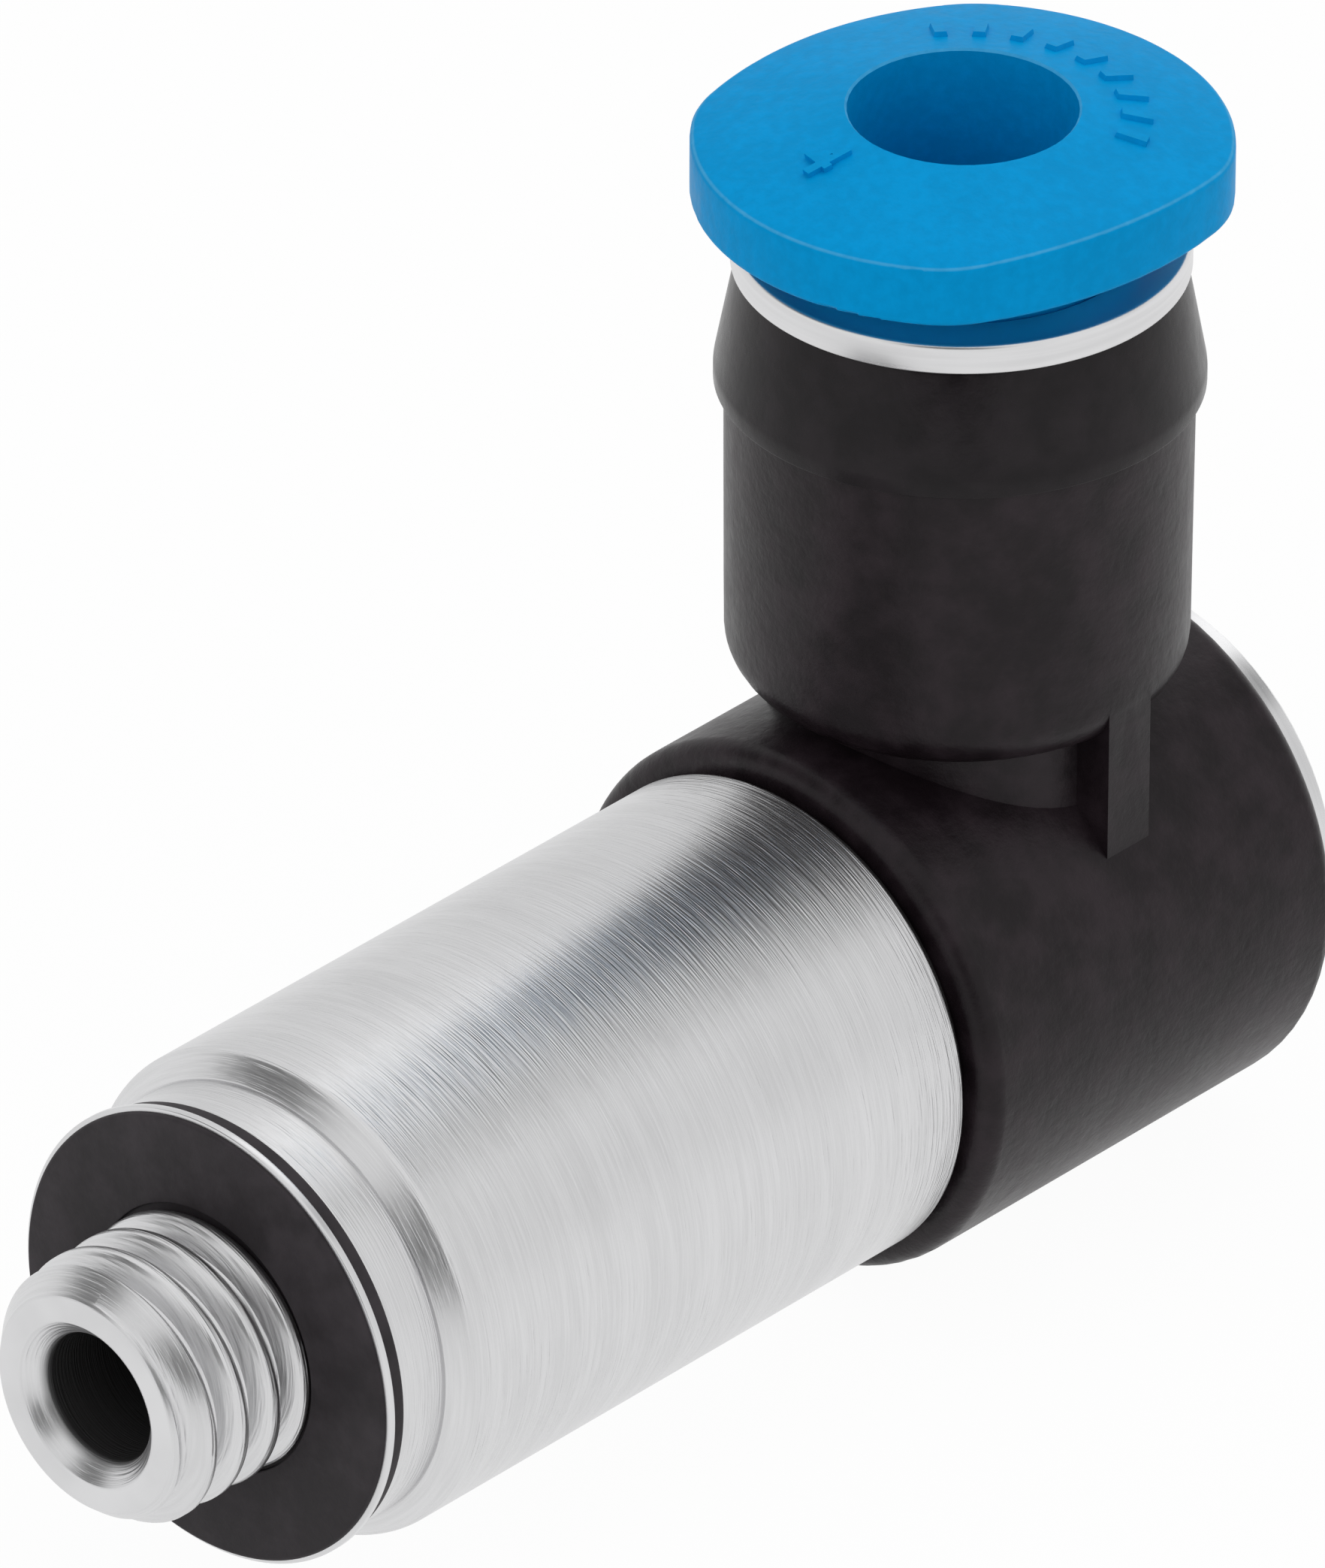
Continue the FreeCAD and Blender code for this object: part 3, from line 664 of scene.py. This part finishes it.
class FITTING_OT_washer(bpy.types.Operator):
    """Model the sealing washer: rubber with a metal ring let into its rim"""
    bl_idname = "fitting.washer"
    bl_label = "Sealing washer"

    def execute(self, context):
        rubber = turned("sealing_washer_rubber", STUD_LINE, [
            (0, WASHER_FRONT_BORE, WASHER_FINE_EDGE),
            (0, WASHER_RADIUS, WASHER_FRONT_EDGE),
            (WASHER_RING_START, WASHER_RADIUS, 0),
            (WASHER_RING_START, WASHER_SLOT_RADIUS, 0),
            (WASHER_RING_END, WASHER_SLOT_RADIUS, 0),
            (WASHER_RING_END, WASHER_RADIUS, WASHER_FINE_EDGE),
            (WASHER_END, WASHER_RADIUS, WASHER_BACK_EDGE),
            (WASHER_END, WASHER_BORE, 0),
            (WASHER_RING_START, WASHER_BORE, 0),
            (WASHER_RING_START, WASHER_FRONT_BORE, 0),
        ])
        finish_piece(rubber, "stud", finishes()["washer_rubber"], "black_rubber", "gasket_rubber")
        ring = turned("sealing_washer_ring", STUD_LINE, [
            (WASHER_RING_START, WASHER_SLOT_RADIUS, 0),
            (WASHER_RING_START, WASHER_RING_RADIUS, WASHER_FINE_EDGE),
            (WASHER_RING_END, WASHER_RING_RADIUS, WASHER_FINE_EDGE),
            (WASHER_RING_END, WASHER_SLOT_RADIUS, 0),
        ])
        finish_piece(ring, "stud", finishes()["washer_steel"], "gasket_metal", "gasket_ring")
        return {"FINISHED"}


class FITTING_OT_spindle(bpy.types.Operator):
    """Finish the swivel spindle, whose end disc and hexagon socket show at the back"""
    bl_idname = "fitting.spindle"
    bl_label = "Swivel spindle"

    def execute(self, context):
        spindle = copied("spindle_with_disc", "swivel_spindle")
        finish_piece(spindle, "stud", finishes()["nickel_spindle"], "nickel_brass",
                     "swivel_spindle")
        return {"FINISHED"}


class FITTING_OT_housing(bpy.types.Operator):
    """Finish the moulded elbow housing"""
    bl_idname = "fitting.housing"
    bl_label = "Elbow housing"

    def execute(self, context):
        housing = copied("moulded_housing", "elbow_housing")
        finish_piece(housing, "elbow", finishes()["housing_black"], "black_housing",
                     "elbow_housing")
        return {"FINISHED"}


class FITTING_OT_cap(bpy.types.Operator):
    """Model the socket's cap with its overhanging lip"""
    bl_idname = "fitting.cap"
    bl_label = "Socket cap"

    def execute(self, context):
        edge = context.scene.fitting_sizes.plastic_rounding / MM
        cap = turned("socket_cap_moulding", PORT_LINE, [
            (SOCKET_TOP, CAP_SPIGOT_RADIUS, 0),
            (SOCKET_TOP, CAP_LIP_RADIUS, edge / 3),
            (SOCKET_TOP + CAP_LIP_HEIGHT, CAP_LIP_RADIUS, 0.8 * edge),
            (CAP_TOP, CAP_TOP_RADIUS, edge),
            (CAP_TOP, CAP_BORE_RADIUS, 0),
            (SOCKET_TOP + CAP_STEP, CAP_BORE_RADIUS, 0),
            (SOCKET_TOP + CAP_STEP, CAP_SPIGOT_RADIUS, 0),
        ])
        finish_piece(cap, "elbow", finishes()["cap_black"], "black_cap", "socket_cap")
        return {"FINISHED"}


class FITTING_OT_bush(bpy.types.Operator):
    """Model the metal bush that the release ring slides in"""
    bl_idname = "fitting.bush"
    bl_label = "Metal bush"

    def execute(self, context):
        edge = context.scene.fitting_sizes.metal_rounding / MM
        lip_top = BUSH_TOP - BUSH_RECESS_DEPTH
        lip_bottom = lip_top - BUSH_LIP_THICKNESS
        bush = turned("bright_bush", PORT_LINE, [
            (BUSH_BASE, BUSH_POCKET_RADIUS, edge),
            (BUSH_BASE, INSERT_RADIUS, edge),
            (CAP_TOP, INSERT_RADIUS, 0),
            (CAP_TOP, BUSH_RADIUS, edge),
            (BUSH_TOP, BUSH_RADIUS, 1.6 * edge),
            (BUSH_TOP, BUSH_RECESS_RADIUS, edge),
            (lip_top, BUSH_RECESS_RADIUS, edge),
            (lip_top, BUSH_LIP_RADIUS, edge),
            (lip_bottom, BUSH_LIP_RADIUS, edge),
            (lip_bottom, BUSH_POCKET_RADIUS, edge),
        ])
        finish_piece(bush, "elbow", finishes()["nickel_bush"], "bush_metal", "metal_bush")
        return {"FINISHED"}


class FITTING_OT_release(bpy.types.Operator):
    """Finish the oval release ring"""
    bl_idname = "fitting.release"
    bl_label = "Release ring"

    def execute(self, context):
        sizes = context.scene.fitting_sizes
        rise = sizes.figure_rise / MM
        ring = copied("oval_release_ring", "release_ring")
        apply_boolean(ring, self.figure(sizes.figure_height / MM, rise), "UNION")
        first = self.tick(rise)
        for turn in TICK_TURNS[1:]:
            tick = first.copy()
            tick.data = first.data.copy()
            bpy.context.collection.objects.link(tick)
            self.stand(tick, TICK_REACH, turn)
            apply_boolean(ring, tick, "UNION")
        self.stand(first, TICK_REACH, TICK_TURNS[0])
        apply_boolean(ring, first, "UNION")
        finish_piece(ring, "release", finishes()["release_blue"], "blue_release", "release_ring")
        return {"FINISHED"}

    def stand(self, mark, reach, turn):
        """Puts a mark on the ring's sloping top, its head towards the tube's hole."""
        height = CROWN_TOP - CROWN_SLOPE * (reach - TUBE_BORE_RADIUS)
        tilt = Matrix.Rotation(math.atan(CROWN_SLOPE), 4, "Y")
        head = Matrix.Rotation(math.pi / 2, 4, "Z")
        round_port = Matrix.Rotation(math.radians(turn), 4, "Z")
        mark.matrix_world = (Matrix.Translation((PORT_X, 0, 0)) @ round_port
                             @ Matrix.Translation((reach, 0, height)) @ tilt @ head)
        bpy.ops.object.select_all(action="DESELECT")
        mark.select_set(True)
        bpy.context.view_layer.objects.active = mark
        bpy.ops.object.transform_apply(location=True, rotation=True, scale=True)

    def figure(self, height, rise):
        """Raised 4, for a 4 mm tube."""
        bpy.ops.object.select_all(action="DESELECT")
        bpy.ops.object.text_add()
        figure = named("tube_size_figure")
        figure.data.body = "4"
        figure.data.align_x, figure.data.align_y = "CENTER", "CENTER"
        figure.data.size = height
        figure.data.offset = 0.03
        figure.data.extrude = rise
        figure.data.resolution_u = 6
        bpy.ops.object.convert(target="MESH")
        figure = bpy.context.object
        start_editing(figure)
        clean_up()
        stop_editing()
        self.stand(figure, FIGURE_REACH, FIGURE_TURN)
        return figure

    def tick(self, rise):
        """One raised tick, tapered so that it leaves its mould."""
        bpy.ops.object.select_all(action="DESELECT")
        bpy.ops.mesh.primitive_cube_add(size=1, scale=(TICK_WIDTH, TICK_LENGTH, 2 * rise))
        tick = named("raised_tick")
        bpy.ops.object.transform_apply(location=True, rotation=True, scale=True)
        start_editing(tick)
        pick(tick, "FACE", lambda face: face.normal.z > 0.9)
        bpy.ops.transform.resize(value=(0.7, 0.9, 1), center_override=(0, 0, rise))
        clean_up()
        stop_editing()
        return tick


class FITTING_OT_inner_pieces(bpy.types.Operator):
    """Give the seals, washers and grip parts inside their finishes"""
    bl_idname = "fitting.inner_pieces"
    bl_label = "Inner pieces"

    def execute(self, context):
        made = finishes()
        wear = {
            "washer_rubber": ("front_o_ring", "rear_o_ring", "spindle_joint_o_ring", "tube_seal"),
            "slip_black": ("front_slip_washer", "rear_slip_washer", "seal_guide_ring",
                           "grip_support_ring"),
            "grip_steel": ("grip_ring",),
        }
        for finish, nodes in wear.items():
            for node in nodes:
                for slot in frame["nodes"][node].material_slots:
                    slot.material = made[finish]
        return {"FINISHED"}


class FITTING_OT_stage(bpy.types.Operator):
    """Set up the floor, lights, surroundings and camera"""
    bl_idname = "fitting.stage"
    bl_label = "Studio"

    def execute(self, context):
        scene = context.scene
        studio = scene.fitting_studio
        scene.view_settings.view_transform = "Standard"
        self.floor()
        self.surroundings(scene, studio.room_light)
        self.lamp(*MIRRORED_LAMP)
        for settings in UNSEEN_LAMPS:
            self.lamp(*settings).visible_glossy = False
        self.camera(scene, studio)
        return {"FINISHED"}

    def lamp(self, name, azimuth, elevation, size, power):
        """Soft rectangular lamp that faces the middle of the fitting."""
        middle = Vector((PORT_X * LIT_MIDDLE[0], 0, LIT_MIDDLE[1])) * MM
        a, e = math.radians(azimuth), math.radians(elevation)
        back = Vector((math.sin(a) * math.cos(e), -math.cos(a) * math.cos(e), math.sin(e)))
        bpy.ops.object.select_all(action="DESELECT")
        bpy.ops.object.light_add(type="AREA", location=middle + back * LAMP_DISTANCE,
                                 rotation=back.to_track_quat("Z", "Y").to_euler())
        lamp = bpy.context.object
        lamp.name = name
        lamp.data.shape = "RECTANGLE"
        lamp.data.size, lamp.data.size_y = size
        lamp.data.energy = power
        return lamp

    def seen(self, finish):
        """1 for what the camera sees directly, in a reflection or through a clear piece."""
        parts = [finish.node("ShaderNodeLightPath", output=name) for name in
                 ("Is Camera Ray", "Is Glossy Ray", "Is Transmission Ray")]
        return parts[0].math("MAXIMUM", parts[0], parts[1].math("MAXIMUM", parts[1], parts[2]))

    def floor(self):
        bpy.ops.object.select_all(action="DESELECT")
        bpy.ops.mesh.primitive_plane_add(size=FLOOR_SIZE, location=(0, 0, FLOOR_Z))
        floor = named("pale_floor")
        bpy.ops.object.transform_apply(location=True, rotation=True, scale=True)
        made, finish = material("floor_white")
        cloud = finish.noise(0.02, detail=1.0)
        paper = finish.node("ShaderNodeBsdfDiffuse", None, {
            "Color": finish.blend(cloud, (0.86, 0.86, 0.86), (0.9, 0.9, 0.9))})
        glow = finish.node("ShaderNodeEmission", None, {"Color": (1, 1, 1, 1), "Strength": 1.0})
        shader = finish.node("ShaderNodeMixShader", None, {
            0: self.seen(finish) * FLOOR_GLOW, 1: paper, 2: glow})
        finish.node("ShaderNodeOutputMaterial", None, {"Surface": shader})
        floor.data.materials.append(made)

    def surroundings(self, scene, room_light):
        world = bpy.data.worlds.new("white_studio")
        world.use_nodes = True
        scene.world = world
        finish = Finish(world.node_tree)
        seen = self.seen(finish)
        way = finish.node("ShaderNodeTexCoord", output="Generated")
        mirrored = finish.node("ShaderNodeLightPath", output="Is Glossy Ray")
        dark = 0.0
        for azimuth, elevation, inner, outer, share in DARK_PARTS:
            a, e = math.radians(azimuth), math.radians(elevation)
            towards = (math.sin(a) * math.cos(e), -math.cos(a) * math.cos(e), math.sin(e))
            near = finish.node("ShaderNodeVectorMath", {"operation": "DOT_PRODUCT"},
                               {0: way, 1: towards}, output="Value")
            dark = near.above(math.cos(math.radians(outer)),
                              math.cos(math.radians(inner))) * share + dark
        strength = (seen * (1 - room_light) + room_light) * (1 - mirrored * dark)
        shader = finish.node("ShaderNodeBackground", None, {
            "Color": (1, 1, 1, 1), "Strength": strength})
        finish.node("ShaderNodeOutputWorld", None, {"Surface": shader})

    def camera(self, scene, studio):
        """Camera aimed so that the whole fitting is in view."""
        a, e = studio.azimuth, studio.elevation
        back = Vector((math.sin(a) * math.cos(e), -math.cos(a) * math.cos(e), math.sin(e)))
        eye = Vector(CAMERA_FOOT) * MM + back * studio.distance
        aim = Vector(CAMERA_AIM) * MM
        away = (eye - aim).normalized()
        right = Vector((0, 0, 1)).cross(away).normalized()
        turn = Matrix((right, away.cross(right), away)).transposed()
        bpy.ops.object.camera_add(location=eye)
        camera = bpy.context.object
        camera.name = "product_camera"
        camera.rotation_euler = (turn @ Matrix.Rotation(studio.roll, 3, "Z")).to_euler()
        camera.data.lens = studio.lens
        scene.camera = camera


PIECE_OPERATORS = ("stud", "washer", "spindle", "housing", "cap", "bush", "release",
                   "inner_pieces", "stage")


class FITTING_PT_sidebar(bpy.types.Panel):
    """Lists the fitting's steps, sizes and colours"""
    bl_idname = "FITTING_PT_sidebar"
    bl_label = "Fitting"
    bl_space_type = "VIEW_3D"
    bl_region_type = "UI"
    bl_category = "Fitting"

    def draw(self, context):
        column = self.layout.column()
        for name in PIECE_OPERATORS:
            column.operator("fitting." + name)
        for group in (context.scene.fitting_sizes, context.scene.fitting_colours,
                      context.scene.fitting_studio):
            box = self.layout.box()
            for key in group.__annotations__:
                box.prop(group, key)


CLASSES = (FittingSizes, FittingColours, StudioSettings, FITTING_OT_stud, FITTING_OT_washer,
           FITTING_OT_spindle, FITTING_OT_housing, FITTING_OT_cap, FITTING_OT_bush,
           FITTING_OT_release, FITTING_OT_inner_pieces, FITTING_OT_stage, FITTING_PT_sidebar)


def register():
    for cls in CLASSES:
        bpy.utils.register_class(cls)
    bpy.types.Scene.fitting_sizes = bpy.props.PointerProperty(type=FittingSizes)
    bpy.types.Scene.fitting_colours = bpy.props.PointerProperty(type=FittingColours)
    bpy.types.Scene.fitting_studio = bpy.props.PointerProperty(type=StudioSettings)


def unregister():
    del bpy.types.Scene.fitting_studio
    del bpy.types.Scene.fitting_colours
    del bpy.types.Scene.fitting_sizes
    for cls in reversed(CLASSES):
        bpy.utils.unregister_class(cls)


def main():
    register()
    for name in PIECE_OPERATORS:
        getattr(bpy.ops.fitting, name)()


if __name__ == "__main__":
    main()
